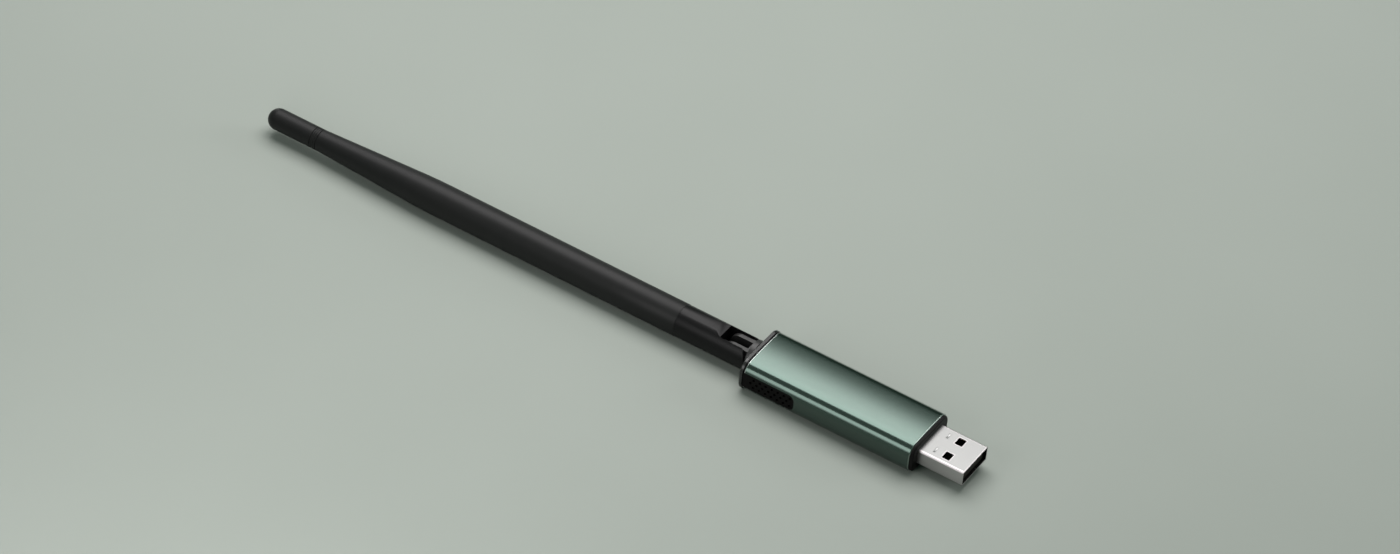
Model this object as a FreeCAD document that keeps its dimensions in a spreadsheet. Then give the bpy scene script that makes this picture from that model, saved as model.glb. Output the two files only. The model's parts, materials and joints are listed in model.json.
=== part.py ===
import FreeCAD, Part
import os
import Sketcher

# Radio stick with a USB-A plug at one end and a folding rod antenna at the other, in millimetres.
# A flat rounded aluminium sleeve is closed by two plastic caps. The plug comes out of the front cap.
# The antenna's knuckle turns in the rear cap about the long axis, and the rod folds up on the knuckle.
# Every piece is drawn in the stick's own frame: x is 0 at the mouth of the plug and runs back along
# the stick as negative numbers, z is 0 on the long axis. Each sub-part's Placement then moves it to
# the part's frame, whose origin is the middle of the underside.

SIZES = [
    ("body_width", 18.1, "sleeve, side to side"),
    ("body_height", 9.4, "sleeve, bottom to top"),
    ("body_corner", 3.1, "outer corner radius of the sleeve and the rear cap"),
    ("sleeve_length", 48.97, "aluminium sleeve, end to end"),
    ("sleeve_wall", 0.8, "aluminium wall"),
    ("sleeve_chamfer", 0.22, "bright edge at each end of the sleeve"),
    ("press_gap", 0.05, "play of a piece pushed into the sleeve"),
    ("cap_wall", 0.95, "wall of both caps inside the sleeve"),

    ("plug_width", 12.0, "shell of the plug"),
    ("plug_height", 4.5, "shell of the plug"),
    ("plug_reach", 13.08, "shell outside the front cap"),
    ("plug_length", 18.75, "whole shell"),
    ("plug_corner", 0.55, "outer corner radius of the shell"),
    ("shell_sheet", 0.3, "steel sheet of the shell"),
    ("window_length", 2.15, "latch window along the plug"),
    ("window_width", 2.6, "latch window across the plug"),
    ("window_back", 6.25, "middle of the windows behind the mouth"),
    ("window_side", 3.09, "middle of the windows beside the centre line"),
    ("dent_length", 0.5, "pressed mark along the plug"),
    ("dent_width", 1.9, "pressed mark across the plug"),
    ("dent_depth", 0.1, "pressed mark, into the sheet"),
    ("dent_behind", 2.2, "pressed mark behind its window"),
    ("seam_width", 0.1, "folded seam under the shell"),
    ("seam_key", 1.3, "dovetail step of the seam"),

    ("tongue_thickness", 1.84, "insulator in the lower half of the shell"),
    ("tongue_recess", 0.8, "insulator behind the mouth"),
    ("tongue_side_gap", 0.12, "insulator to the sides of the shell"),
    ("tongue_block", 4.6, "full height block at the back of the insulator"),
    ("contact_width", 1.0, "each contact strip"),
    ("contact_sheet", 0.25, "each contact strip"),
    ("contact_proud", 0.05, "contact above the insulator"),
    ("contact_inner", 1.0, "data contacts beside the centre line"),
    ("contact_outer", 3.5, "power contacts beside the centre line"),
    ("contact_long_recess", 1.2, "power contacts behind the mouth"),
    ("contact_short_recess", 2.2, "data contacts behind the mouth"),
    ("contact_tail", 2.4, "contact on the board, behind the shell"),

    ("front_cap_reach", 0.85, "front cap outside the sleeve"),
    ("front_cap_inset", 0.4, "front cap inside the outline of the sleeve"),
    ("front_cap_round", 0.6, "rounded edge of the front cap"),
    ("front_cap_depth", 2.4, "front wall of the cap round the plug"),
    ("front_spigot", 4.2, "front cap inside the sleeve"),
    ("slot_play", 0.05, "plug in the front cap's slot"),
    ("cutter_reach", 1.0, "how far a cutting shape stands past what it cuts"),

    ("rim_gap", 0.2, "shadow line between the sleeve and the rear cap's rim"),
    ("rim_length", 1.2, "rim of the rear cap"),
    ("rim_round", 0.4, "rounded rear edge of the rim"),
    ("rear_wall", 3.0, "end wall of the rear cap, rim and bearing"),
    ("rear_spigot", 5.0, "rear cap inside the sleeve, all round"),
    ("vent_length", 15.05, "open notch in each side of the sleeve"),
    ("vent_height", 4.7, "notch, bottom to top"),
    ("vent_corner", 1.6, "rounded front corners of the notch"),
    ("vent_line", 0.1, "line round the vent panel"),
    ("vent_recess", 0.14, "vent panel below the sleeve's surface"),
    ("vent_hole", 0.78, "small round vent hole"),
    ("vent_pitch", 1.8, "vent holes in a row"),
    ("vent_row_pitch", 1.23, "between rows"),
    ("vent_margin", 1.15, "first vent hole from the front of the panel"),

    ("flange_gap", 0.1, "knuckle flange to the rear cap"),
    ("flange_length", 1.4, "knuckle flange"),
    ("rod_diameter", 9.1, "thick part of the antenna"),
    ("fork_diameter", 9.0, "fork and flange of the knuckle, a touch thinner"),
    ("pivot_reach", 4.8, "fold axis behind the flange"),
    ("shaft_inset", 0.6, "hollow shaft of the knuckle inside the height of the rear cap's room"),
    ("shaft_play", 0.05, "radial play of the shaft in the rear cap"),
    ("shaft_overhang", 1.5, "shaft inside the rear cap's wall"),
    ("clip_groove", 0.35, "depth of the groove for the retaining ring"),
    ("clip_play", 0.05, "retaining ring to the rear cap's wall"),
    ("clip_thickness", 0.6, "retaining ring"),
    ("clip_inset", 0.1, "retaining ring inside the height of the rear cap's room"),
    ("clip_seat_play", 0.02, "retaining ring in its groove"),
    ("cable_diameter", 1.13, "feed cable"),
    ("cable_bore", 1.6, "bore for the feed cable"),
    ("cable_play", 0.05, "feed cable's bend to the length in the rod"),

    ("prong_outside", 5.0, "across both prongs of the knuckle"),
    ("prong_gap", 2.4, "slot between the prongs"),
    ("prong_height", 5.7, "prongs, bottom to top"),
    ("prong_root", 0.93, "solid root of the prongs behind the flange"),
    ("trunnion_diameter", 2.6, "pivot stub on each prong"),
    ("trunnion_length", 0.9, "pivot stub outside its prong"),
    ("trunnion_play", 0.05, "radial play of the stub"),
    ("trunnion_end_gap", 0.15, "stub to the bottom of its hole"),
    ("washer_diameter", 4.6, "friction washer"),
    ("washer_thickness", 0.2, "friction washer"),

    ("fork_slot", 5.5, "slot between the cheeks of the fork"),
    ("slot_reach", 3.7, "end of the slot behind the fold axis"),
    ("fork_nose", 4.65, "rounded front of the cheeks about the fold axis"),
    ("fork_floor_gap", 0.3, "floor of the fork under the prongs"),
    ("flat_length", 2.7, "sloped flat before the slot"),
    ("flat_depth", 0.9, "sloped flat at the slot"),
    ("fork_length", 16.5, "fold axis to the joint of the rod"),
    ("fork_spigot", 8.0, "fork inside the rod"),
    ("rod_bore_play", 0.05, "fork in the rod"),
    ("rod_wall", 1.0, "plastic wall of the rod"),
    ("rod_chamfer", 0.15, "edge of the rod at the joint"),
    ("rod_straight", 79.0, "thick part of the rod"),
    ("taper_length", 35.0, "tapered part of the rod"),
    ("tip_length", 17.0, "thin part of the rod"),
    ("tip_diameter", 6.0, "thin part of the rod"),
    ("ring_depth", 0.15, "fine ring groove near the tip"),
    ("ring_pitch", 0.62, "between ring grooves"),

    ("dipole_diameter", 5.0, "brass quarter-wave sleeve"),
    ("dipole_sheet", 0.3, "brass wall"),
    ("dipole_length", 27.0, "brass quarter-wave sleeve"),
    ("dipole_behind", 40.0, "front of the brass sleeve behind the joint of the rod"),
    ("radiator_diameter", 1.2, "copper radiator wire"),
    ("radiator_length", 28.0, "copper radiator wire past the brass sleeve"),
    ("spacer_length", 3.0, "plastic spacer in the rod"),
    ("spacer_play", 0.1, "spacer in the rod"),

    ("board_side_gap", 0.25, "circuit board to the rear cap's walls"),
    ("board_thickness", 1.0, "circuit board"),
    ("board_end_gap", 0.3, "circuit board to the plug's shell and the rear cap's ring"),
    ("notch_width", 1.5, "notch in the board for the feed cable"),
    ("notch_length", 3.0, "notch in the board for the feed cable"),
    ("ledge_width", 1.1, "ledge of the rear cap under the board's edge"),
    ("ledge_height", 0.8, "ledge of the rear cap under the board's edge"),
    ("carrier_floor", 0.7, "floor of the board carrier"),
    ("carrier_rail", 1.5, "rail of the board carrier"),
    ("carrier_end_gap", 0.4, "carrier to the caps"),
    ("boss_diameter", 3.4, "screw boss of the carrier"),
    ("screw_diameter", 1.6, "board screw"),
    ("screw_head_diameter", 2.8, "board screw"),
    ("screw_head_height", 0.8, "board screw"),
    ("screw_play", 0.04, "screw in its hole"),
    ("screw_margin", 1.6, "screws inside the board's edge"),
    ("socket_depth", 0.3, "recess of the screw head"),

    ("clamp_length", 2.0, "cable clamp on the board"),
    ("clamp_width", 2.8, "cable clamp on the board"),
    ("clamp_height", 1.4, "cable clamp on the board"),
    ("core_diameter", 0.4, "inner conductor of the feed cable"),
    ("core_length", 1.4, "inner conductor past the cable"),
    ("pad_length", 1.0, "solder pad of the inner conductor"),
    ("pad_width", 1.2, "solder pad of the inner conductor"),
    ("part_gap", 0.9, "between parts on the board"),
    ("bridge_side", 4.0, "usb interface chip"),
    ("bridge_height", 0.85, "usb interface chip"),
    ("regulator_length", 1.7, "voltage regulator along the stick"),
    ("regulator_width", 3.0, "voltage regulator across the stick"),
    ("regulator_height", 1.2, "voltage regulator"),
    ("lamp_length", 0.8, "status lamp along the stick"),
    ("lamp_width", 1.6, "status lamp across the stick"),
    ("lamp_height", 0.6, "status lamp"),
    ("lamp_side", 1.9, "status lamps beside the centre line"),
    ("shield_margin", 0.7, "screening can inside the board's edge"),
    ("shield_height", 1.9, "screening can"),
    ("shield_sheet", 0.2, "screening can"),
    ("radio_side", 7.0, "radio chip"),
    ("radio_height", 0.9, "radio chip"),
    ("crystal_length", 2.5, "crystal along the stick"),
    ("crystal_width", 3.2, "crystal across the stick"),
    ("crystal_height", 0.8, "crystal"),
    ("capacitor_length", 1.0, "chip capacitor across the stick"),
    ("capacitor_width", 0.5, "chip capacitor along the stick"),
    ("capacitor_height", 0.5, "chip capacitor"),
    ("capacitor_pitch", 1.9, "row of chip capacitors"),
    ("pad_inset", 1.2, "heat pad inside the edge of the can"),
    ("heat_pad_gap", 0.1, "heat pad to the sleeve"),
]
VENT_ROWS = 3
RING_GROOVES = 4
CAPACITORS = 4

doc = FreeCAD.newDocument("radio_stick")
sheet = doc.addObject("Spreadsheet::Sheet", "Sizes")
for row, (alias, number, meaning) in enumerate(SIZES, start=1):
    sheet.set(f"A{row}", alias)
    sheet.set(f"B{row}", str(number))
    sheet.set(f"C{row}", meaning)
    sheet.setAlias(f"B{row}", alias)
doc.recompute()


class Size:
    """A length as an expression on the sheet, with its value for what has to be searched or counted."""

    def __init__(self, text, value):
        self.text = text
        self.value = value

    def join(self, other, sign, value):
        return Size(f"({self.text} {sign} {as_size(other).text})", value)

    def __add__(self, other):
        return self.join(other, "+", self.value + as_size(other).value)

    def __sub__(self, other):
        return self.join(other, "-", self.value - as_size(other).value)

    def __mul__(self, other):
        return self.join(other, "*", self.value * as_size(other).value)

    def __truediv__(self, other):
        return self.join(other, "/", self.value / as_size(other).value)

    def __neg__(self):
        return Size(f"(0 - {self.text})", -self.value)


def as_size(number):
    return number if isinstance(number, Size) else Size(repr(float(number)), float(number))


class Sheet:
    """Reads a driving dimension by its name: S.body_width."""

    def __getattr__(self, alias):
        return Size(f"Sizes.{alias}", float(sheet.get(alias)))


S = Sheet()
ZERO = as_size(0)

# Places along the stick, from the mouth of the plug back to the tip of the rod
cap_front = -S.plug_reach
sleeve_front = cap_front - S.front_cap_reach
sleeve_rear = sleeve_front - S.sleeve_length
rim_front = sleeve_rear - S.rim_gap
rim_rear = rim_front - S.rim_length
rear_wall_front = rim_rear + S.rear_wall
flange_front = rim_rear - S.flange_gap
flange_rear = flange_front - S.flange_length
pivot = flange_rear - S.pivot_reach
slot_end = pivot - S.slot_reach
rod_front = pivot - S.fork_length
taper_front = rod_front - S.rod_straight
taper_rear = taper_front - S.taper_length
rod_tip = taper_rear - S.tip_length
shell_rear = -S.plug_length
shaft_front = rear_wall_front + S.shaft_overhang

# Heights and sections shared by several pieces, and how far a cutting shape stands past its edge
past = S.cutter_reach
rod_radius = S.rod_diameter / 2
fork_radius = S.fork_diameter / 2
tip_radius = S.tip_diameter / 2
rod_bore = rod_radius - S.rod_wall
tip_bore = tip_radius - S.rod_wall
cable_radius = S.cable_diameter / 2
inner_width = S.body_width - S.sleeve_wall * 2
inner_height = S.body_height - S.sleeve_wall * 2
inner_corner = S.body_corner - S.sleeve_wall
spigot_width = inner_width - S.press_gap * 2
spigot_height = inner_height - S.press_gap * 2
spigot_corner = inner_corner - S.press_gap
cavity_width = spigot_width - S.cap_wall * 2
cavity_height = spigot_height - S.cap_wall * 2
cavity_corner = spigot_corner - S.cap_wall
tongue_bottom = S.shell_sheet - S.plug_height / 2
tongue_top = tongue_bottom + S.tongue_thickness
contact_top = tongue_top + S.contact_proud
board_top = contact_top - S.contact_sheet
board_bottom = board_top - S.board_thickness
board_front = shell_rear - S.board_end_gap
board_rear = rear_wall_front + S.shaft_overhang + S.board_end_gap
floor_top = -spigot_height / 2 + S.carrier_floor

board_width = cavity_width - S.board_side_gap * 2
shield_width = board_width - S.shield_margin * 2
shaft_diameter = cavity_height - S.shaft_inset * 2
clip_diameter = cavity_height - S.clip_inset * 2

PARTS = []


def bind(item, **sizes):
    """Ties properties to the sheet; a double underscore stands for the dot of a nested property."""
    for name, size in sizes.items():
        item.setExpression(name.replace("__", "."), as_size(size).text)


def origin_plane(body, role):
    return next(plane for plane in body.Origin.OriginFeatures if plane.Role == role)


def rectangle(sketch, left, right, low, high):
    """Four lines, two corners of which are set from the sketch's origin."""
    corners = [(left, low), (right, low), (right, high), (left, high)]
    points = [FreeCAD.Vector(a.value, b.value, 0) for a, b in corners]
    for index in range(4):
        sketch.addGeometry(Part.LineSegment(points[index], points[(index + 1) % 4]), False)
    for index in range(4):
        sketch.addConstraint(Sketcher.Constraint("Coincident", index, 2, (index + 1) % 4, 1))
    for index in range(4):
        sketch.addConstraint(Sketcher.Constraint("Vertical" if index % 2 else "Horizontal", index))
    for kind, line, size in (("DistanceX", 0, left), ("DistanceY", 0, low),
                             ("DistanceX", 2, right), ("DistanceY", 2, high)):
        number = sketch.addConstraint(Sketcher.Constraint(kind, -1, 1, line, 1, size.value))
        sketch.setExpression(f"Constraints[{number}]", size.text)


def outline(sketch, points):
    """A closed outline of straight lines, each corner set from the sketch's origin."""
    places = [FreeCAD.Vector(a.value, b.value, 0) for a, b in points]
    count = len(points)
    for index in range(count):
        sketch.addGeometry(Part.LineSegment(places[index], places[(index + 1) % count]), False)
    for index in range(count):
        sketch.addConstraint(Sketcher.Constraint("Coincident", index, 2, (index + 1) % count, 1))
    for index, (across, up) in enumerate(points):
        for kind, size in (("DistanceX", across), ("DistanceY", up)):
            number = sketch.addConstraint(Sketcher.Constraint(kind, -1, 1, index, 1, size.value))
            sketch.setExpression(f"Constraints[{number}]", size.text)


def new_sketch(body, name, role, offset):
    sketch = body.newObject("Sketcher::SketchObject", name)
    sketch.AttachmentSupport = [(origin_plane(body, role), "")]
    sketch.MapMode = "FlatFace"
    sketch.setExpression("AttachmentOffset.Base.z", offset.text)
    return sketch


def pad(body, name, sketch, length):
    feature = body.newObject("PartDesign::Pad", name)
    feature.Profile = sketch
    bind(feature, Length=length)
    doc.recompute()
    return feature


def dress(body, kind, name, edges, size):
    """A fillet or chamfer on the named edges of the body's last feature."""
    base = body.Tip
    feature = body.newObject(f"PartDesign::{kind}", name)
    feature.Base = (base, edges)
    bind(feature, **{"Radius" if kind == "Fillet" else "Size": size})
    doc.recompute()
    return feature


def edges_along(shape, axis):
    """Names of the straight edges that run along one axis."""
    others = [letter for letter in "XYZ" if letter != axis]
    return [f"Edge{index}" for index, edge in enumerate(shape.Edges, start=1)
            if all(getattr(edge.BoundBox, f"{letter}Length") < 1e-6 for letter in others)]


def edges_at(shape, place):
    """Names of the edges that lie in one plane across the stick."""
    return [f"Edge{index}" for index, edge in enumerate(shape.Edges, start=1)
            if abs(edge.BoundBox.XMin - place) < 1e-5 and abs(edge.BoundBox.XMax - place) < 1e-5]


def bar(name, x, y, z, along="X", corner=None):
    """A padded rectangle between two places on each axis, its corners rounded round one axis."""
    body = doc.addObject("PartDesign::Body", name)
    if along == "X":
        sketch = new_sketch(body, f"{name}_sketch", "YZ_Plane", x[0])
        rectangle(sketch, *y, *z)
        pad(body, f"{name}_pad", sketch, x[1] - x[0])
    else:
        sketch = new_sketch(body, f"{name}_sketch", "XZ_Plane", -y[1])
        rectangle(sketch, *x, *z)
        pad(body, f"{name}_pad", sketch, y[1] - y[0])
    if corner is not None:
        dress(body, "Fillet", f"{name}_corners", edges_along(body.Tip.Shape, along), corner)
    return body


def both(size):
    """A range that lies evenly about the centre line."""
    return (-size / 2, size / 2)


def section(name, x, width, height, corner):
    """A length of rounded bar that lies evenly about the long axis."""
    return bar(name, x, both(width), both(height), "X", corner)


def prism(name, points, y):
    """An outline seen from the side, padded across the stick."""
    body = doc.addObject("PartDesign::Body", name)
    sketch = new_sketch(body, f"{name}_sketch", "XZ_Plane", -y[1])
    outline(sketch, points)
    pad(body, f"{name}_pad", sketch, y[1] - y[0])
    return body


def box(name, x, y, z):
    item = doc.addObject("Part::Box", name)
    bind(item, Length=x[1] - x[0], Width=y[1] - y[0], Height=z[1] - z[0])
    bind(item, Placement__Base__x=x[0], Placement__Base__y=y[0], Placement__Base__z=z[0])
    return item


TURNS = {"X": FreeCAD.Rotation(FreeCAD.Vector(0, 1, 0), 90),
         "Y": FreeCAD.Rotation(FreeCAD.Vector(1, 0, 0), -90),
         "Z": FreeCAD.Rotation()}


def placed(item, along, x, y, z):
    """Turns a primitive's own axis along the given one and puts its base in place."""
    item.Placement = FreeCAD.Placement(FreeCAD.Vector(), TURNS[along])
    bind(item, Placement__Base__x=x, Placement__Base__y=y, Placement__Base__z=z)
    return item


def rod(name, radius, x, y=ZERO, z=ZERO):
    """A cylinder along the stick."""
    item = doc.addObject("Part::Cylinder", name)
    bind(item, Radius=radius, Height=x[1] - x[0])
    return placed(item, "X", x[0], y, z)


def cross_rod(name, radius, x, y):
    """A cylinder across the stick, on the height of the long axis."""
    item = doc.addObject("Part::Cylinder", name)
    bind(item, Radius=radius, Height=y[1] - y[0])
    return placed(item, "Y", x, y[0], ZERO)


def post(name, radius, x, y, z):
    """An upright cylinder."""
    item = doc.addObject("Part::Cylinder", name)
    bind(item, Radius=radius, Height=z[1] - z[0])
    return placed(item, "Z", x, y, z[0])


def cone(name, rear_radius, front_radius, x):
    item = doc.addObject("Part::Cone", name)
    bind(item, Radius1=rear_radius, Radius2=front_radius, Height=x[1] - x[0])
    return placed(item, "X", x[0], ZERO, ZERO)


def ball(name, radius, x):
    item = doc.addObject("Part::Sphere", name)
    bind(item, Radius=radius)
    return placed(item, "X", x, ZERO, ZERO)


def fuse(name, *items):
    item = doc.addObject("Part::MultiFuse", name)
    item.Shapes = list(items)
    item.Refine = True
    return item


def cut(name, base, *tools):
    item = doc.addObject("Part::Cut", name)
    item.Base = base
    item.Tool = tools[0] if len(tools) == 1 else fuse(f"{name}_tools", *tools)
    item.Refine = True
    return item


def common(name, first, second):
    item = doc.addObject("Part::Common", name)
    item.Base = first
    item.Tool = second
    item.Refine = True
    return item


def sub_part(label, item):
    """Gives a finished piece its name and moves it from the stick's frame to the part's frame."""
    item.Label = label
    own = {path.strip("."): text for path, text in item.ExpressionEngine}
    for axis, shift in (("x", -rod_tip / 2), ("z", S.body_height / 2)):
        path = f"Placement.Base.{axis}"
        item.setExpression(path, f"{own.get(path, '0')} + {shift.text}")
    PARTS.append((label, item))
    return item


def make_sleeve():
    """Extruded tube with a chamfered edge at each end and a notch in each side for the vents."""
    body = section("sleeve_bar", (sleeve_rear, sleeve_front), S.body_width, S.body_height, S.body_corner)
    shape = body.Tip.Shape
    ends = edges_at(shape, sleeve_rear.value) + edges_at(shape, sleeve_front.value)
    dress(body, "Chamfer", "sleeve_chamfer", ends, S.sleeve_chamfer)
    reach = (sleeve_rear - past, sleeve_front + past)
    cavity = section("sleeve_cavity", reach, inner_width, inner_height, inner_corner)
    notch_x = (sleeve_rear - S.vent_corner * 2, sleeve_rear + S.vent_length)
    notch = bar("vent_notch", notch_x, both(S.body_width + past * 2), both(S.vent_height), "Y",
                S.vent_corner)
    sub_part("housing_sleeve", cut("sleeve_open", body, cavity, notch))


def vent_blank(name, x):
    """The shape of a notch, drawn in by the line round the panel, over a range along the stick."""
    height = S.vent_height - S.vent_line * 2
    return bar(name, x, both(S.body_width), both(height), "Y", S.vent_corner - S.vent_line)


def panel_range():
    return rim_front, sleeve_rear + S.vent_length - S.vent_line


def vent_holes(side, name):
    """Staggered rows of small round holes through one panel."""
    rear, front = panel_range()
    columns = int((front.value - rear.value - S.vent_margin.value) / S.vent_pitch.value)
    reach = (spigot_width / 2 - past, S.body_width / 2 + past)
    holes = []
    for row in range(VENT_ROWS):
        height = S.vent_row_pitch * (row - (VENT_ROWS - 1) / 2)
        for column in range(columns):
            x = front - S.vent_margin - S.vent_pitch * (column + (row % 2) / 2)
            start = reach[0] if side > 0 else -reach[1]
            hole = cross_rod(f"hole_{name}_{row}_{column}", S.vent_hole / 2, x,
                             (start, start + reach[1] - reach[0]))
            hole.setExpression("Placement.Base.z", height.text)
            holes.append(hole)
    return holes


def make_vent_panels():
    """A thin panel in each notch, a little below the sleeve's surface, on the rear cap's side arm."""
    rear, front = panel_range()
    skin = section("vent_skin", (rear, front), S.body_width - S.vent_recess * 2,
                   S.body_height - S.vent_recess * 2, S.body_corner - S.vent_recess)
    slab = common("vent_slab", skin, vent_blank("vent_outline", (rear - S.vent_corner * 2, front)))
    inside = section("vent_inside", (rear - past, front + past), spigot_width, spigot_height, spigot_corner)
    panels = cut("vent_skins", slab, inside)
    for side, name in ((1, "far"), (-1, "near")):
        half = (ZERO, S.body_width) if side > 0 else (-S.body_width, ZERO)
        one = common(f"vent_side_{name}", panels, box(f"vent_half_{name}", (rear, front), half,
                                                      both(S.body_height)))
        sub_part(f"vent_panel_{name}", cut(f"vent_piece_{name}", one, *vent_holes(side, name)))


def make_rear_cap():
    """Rim, bearing wall, spigot, and a side arm behind each vent panel with a ledge for the board."""
    rim = section("rim_bar", (rim_rear, rim_front), S.body_width, S.body_height, S.body_corner)
    dress(rim, "Fillet", "rim_rounding", edges_at(rim.Tip.Shape, rim_rear.value), S.rim_round)
    spigot_front = sleeve_rear + S.rear_spigot
    plug = section("rear_spigot", (rim_front, spigot_front), spigot_width, spigot_height, spigot_corner)
    arm_front = panel_range()[1]
    bar_x = (rim_front, arm_front)
    arms = common("rear_arms", section("arm_bar", bar_x, spigot_width, spigot_height, spigot_corner),
                  vent_blank("arm_outline", (rim_front - S.vent_corner * 2, arm_front)))
    room = section("rear_room", (rear_wall_front, arm_front + past), cavity_width, cavity_height,
                   cavity_corner)
    bearing_x = (rim_rear - past, rear_wall_front + past)
    bearing = rod("bearing_bore", shaft_diameter / 2 + S.shaft_play, bearing_x)
    ledge_x = (rear_wall_front - 0.5, arm_front - S.vent_corner)
    ledge_z = (board_bottom - S.ledge_height, board_bottom)
    wall_y = cavity_width / 2 + S.cap_wall / 2
    ledge_y = cavity_width / 2 - S.ledge_width
    ledges = [box("ledge_far", ledge_x, (ledge_y, wall_y), ledge_z),
              box("ledge_near", ledge_x, (-wall_y, -ledge_y), ledge_z)]
    walls = cut("rear_walls", fuse("rear_solid", rim, plug, arms), room, bearing)
    sub_part("rear_cap", fuse("rear_cap_piece", walls, *ledges))


def make_front_cap():
    """Rounded nose with the slot for the plug, and a spigot inside the sleeve."""
    inset = S.front_cap_inset * 2
    nose = section("nose_bar", (sleeve_front, cap_front), S.body_width - inset, S.body_height - inset,
                   S.body_corner - S.front_cap_inset)
    dress(nose, "Fillet", "nose_rounding", edges_at(nose.Tip.Shape, cap_front.value), S.front_cap_round)
    spigot_rear = sleeve_front - S.front_spigot
    plug = section("front_spigot", (spigot_rear, sleeve_front), spigot_width, spigot_height,
                   spigot_corner)
    room = section("front_room", (spigot_rear - past, cap_front - S.front_cap_depth), cavity_width,
                   cavity_height, cavity_corner)
    slot = section("plug_slot", (spigot_rear - past, cap_front + past), S.plug_width + S.slot_play * 2,
                   S.plug_height + S.slot_play * 2, S.plug_corner)
    sub_part("front_cap", cut("front_cap_piece", fuse("front_solid", nose, plug), room, slot))


def make_shell():
    """Folded steel shell: four latch windows, two pressed marks on top and a keyed seam below."""
    reach = (shell_rear, ZERO)
    sheet_bar = section("shell_bar", reach, S.plug_width, S.plug_height, S.plug_corner)
    hollow = section("shell_hollow", (shell_rear - past, past), S.plug_width - S.shell_sheet * 2,
                     S.plug_height - S.shell_sheet * 2, S.plug_corner - S.shell_sheet)
    window_x = (-S.window_back - S.window_length / 2, -S.window_back + S.window_length / 2)
    dent_rear = window_x[0] - S.dent_behind - S.dent_length
    cuts = [hollow]
    for side, name in ((1, "far"), (-1, "near")):
        middle = S.window_side * side
        window_y = (middle - S.window_width / 2, middle + S.window_width / 2)
        dent_y = (middle - S.dent_width / 2, middle + S.dent_width / 2)
        cuts.append(box(f"window_{name}", window_x, window_y, both(S.plug_height + past * 2)))
        top = S.plug_height / 2
        cuts.append(box(f"dent_{name}", (dent_rear, dent_rear + S.dent_length), dent_y,
                        (top - S.dent_depth, top + past)))
    line = S.seam_width / 2
    bottom = (-S.plug_height / 2 - past, tongue_bottom + 0.1)
    step = S.plug_length / 4
    offsets = [ZERO, S.seam_key, ZERO, S.seam_key]
    for index, offset in enumerate(offsets):
        start = shell_rear + step * index
        end = start + step
        if index == 0:
            start = start - past
        if index == len(offsets) - 1:
            end = end + past
        cuts.append(box(f"seam_run_{index}", (start, end), (offset - line, offset + line), bottom))
        if index:
            joint = shell_rear + step * index
            cuts.append(box(f"seam_step_{index}", (joint - line, joint + line),
                            (-line, S.seam_key + line), bottom))
    sub_part("usb_shell", cut("shell_piece", sheet_bar, *cuts))


def make_tongue_and_contacts():
    """Insulator in the lower half of the shell with four strips lying in its top."""
    width = S.plug_width - S.shell_sheet * 2 - S.tongue_side_gap * 2
    height = S.plug_height - S.shell_sheet * 2
    solid = section("tongue_bar", (shell_rear, -S.tongue_recess), width, height,
                    S.plug_corner - S.shell_sheet)
    mouth = box("tongue_mouth", (shell_rear + S.tongue_block, ZERO), both(S.plug_width),
                (tongue_top, S.plug_height))
    strips = []
    for name, place, recess in (("vbus", S.contact_outer, S.contact_long_recess),
                                ("dminus", S.contact_inner, S.contact_short_recess),
                                ("dplus", -S.contact_inner, S.contact_short_recess),
                                ("gnd", -S.contact_outer, S.contact_long_recess)):
        strip_y = (place - S.contact_width / 2, place + S.contact_width / 2)
        strip_z = (board_top, contact_top)
        strips.append(box(f"slot_{name}", (shell_rear - past, -recess), strip_y, strip_z))
        strip = box(f"strip_{name}", (shell_rear - S.contact_tail, -recess), strip_y, strip_z)
        sub_part(f"usb_contact_{name}", strip)
    sub_part("usb_tongue", cut("tongue_piece", solid, mouth, *strips))


def make_knuckle():
    """Flange and hollow shaft that turn in the rear cap, and two prongs with the pivot stubs."""
    flange = rod("flange", fork_radius, (flange_rear, flange_front))
    shaft_radius = shaft_diameter / 2
    shaft = rod("shaft", shaft_radius, (flange_rear, shaft_front))
    prong_y = both(S.prong_outside)
    half = S.prong_height / 2
    plate = box("prong_plate", (pivot, flange_rear), prong_y, (-half, half))
    end = cross_rod("prong_end", half, pivot, prong_y)
    reach = S.prong_outside / 2 + S.trunnion_length
    stubs = cross_rod("trunnions", S.trunnion_diameter / 2, pivot, (-reach, reach))
    solid = fuse("knuckle_solid", flange, shaft, plate, end, stubs)
    gap = box("prong_slot", (pivot - S.prong_height, flange_rear - S.prong_root), both(S.prong_gap),
              both(S.prong_height + past * 2))
    bore = rod("knuckle_bore", S.cable_bore / 2, (pivot - S.prong_height, shaft_front + past))
    clip_rear = rear_wall_front + S.clip_play
    clip_x = (clip_rear, clip_rear + S.clip_thickness)
    floor = shaft_radius - S.clip_groove
    groove = cut("clip_groove", rod("groove_disc", shaft_radius + past, clip_x),
                 rod("groove_floor", floor, (clip_rear - past, clip_rear + S.clip_thickness + past)))
    sub_part("swivel_knuckle", cut("knuckle_piece", solid, gap, bore, groove))

    ring_x = (clip_rear + S.clip_seat_play, clip_x[1] - S.clip_seat_play)
    ring = cut("ring_piece", rod("ring_disc", clip_diameter / 2, ring_x),
               rod("ring_hole", floor + S.clip_seat_play, (clip_rear - past, clip_x[1] + past)))
    mouth = box("ring_mouth", (clip_rear - past, clip_x[1] + past), both(shaft_diameter * 0.62),
                (ZERO, clip_diameter))
    sub_part("swivel_retaining_ring", cut("ring_open", ring, mouth))

    for side, name in ((1, "far"), (-1, "near")):
        inner = S.prong_outside / 2
        span = (inner, inner + S.washer_thickness) if side > 0 else (-inner - S.washer_thickness, -inner)
        disc = cross_rod(f"washer_disc_{name}", S.washer_diameter / 2, pivot, span)
        hole = cross_rod(f"washer_hole_{name}", S.trunnion_diameter / 2 + S.trunnion_play, pivot,
                         (-reach, reach))
        sub_part(f"fold_washer_{name}", cut(f"washer_piece_{name}", disc, hole))


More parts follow.
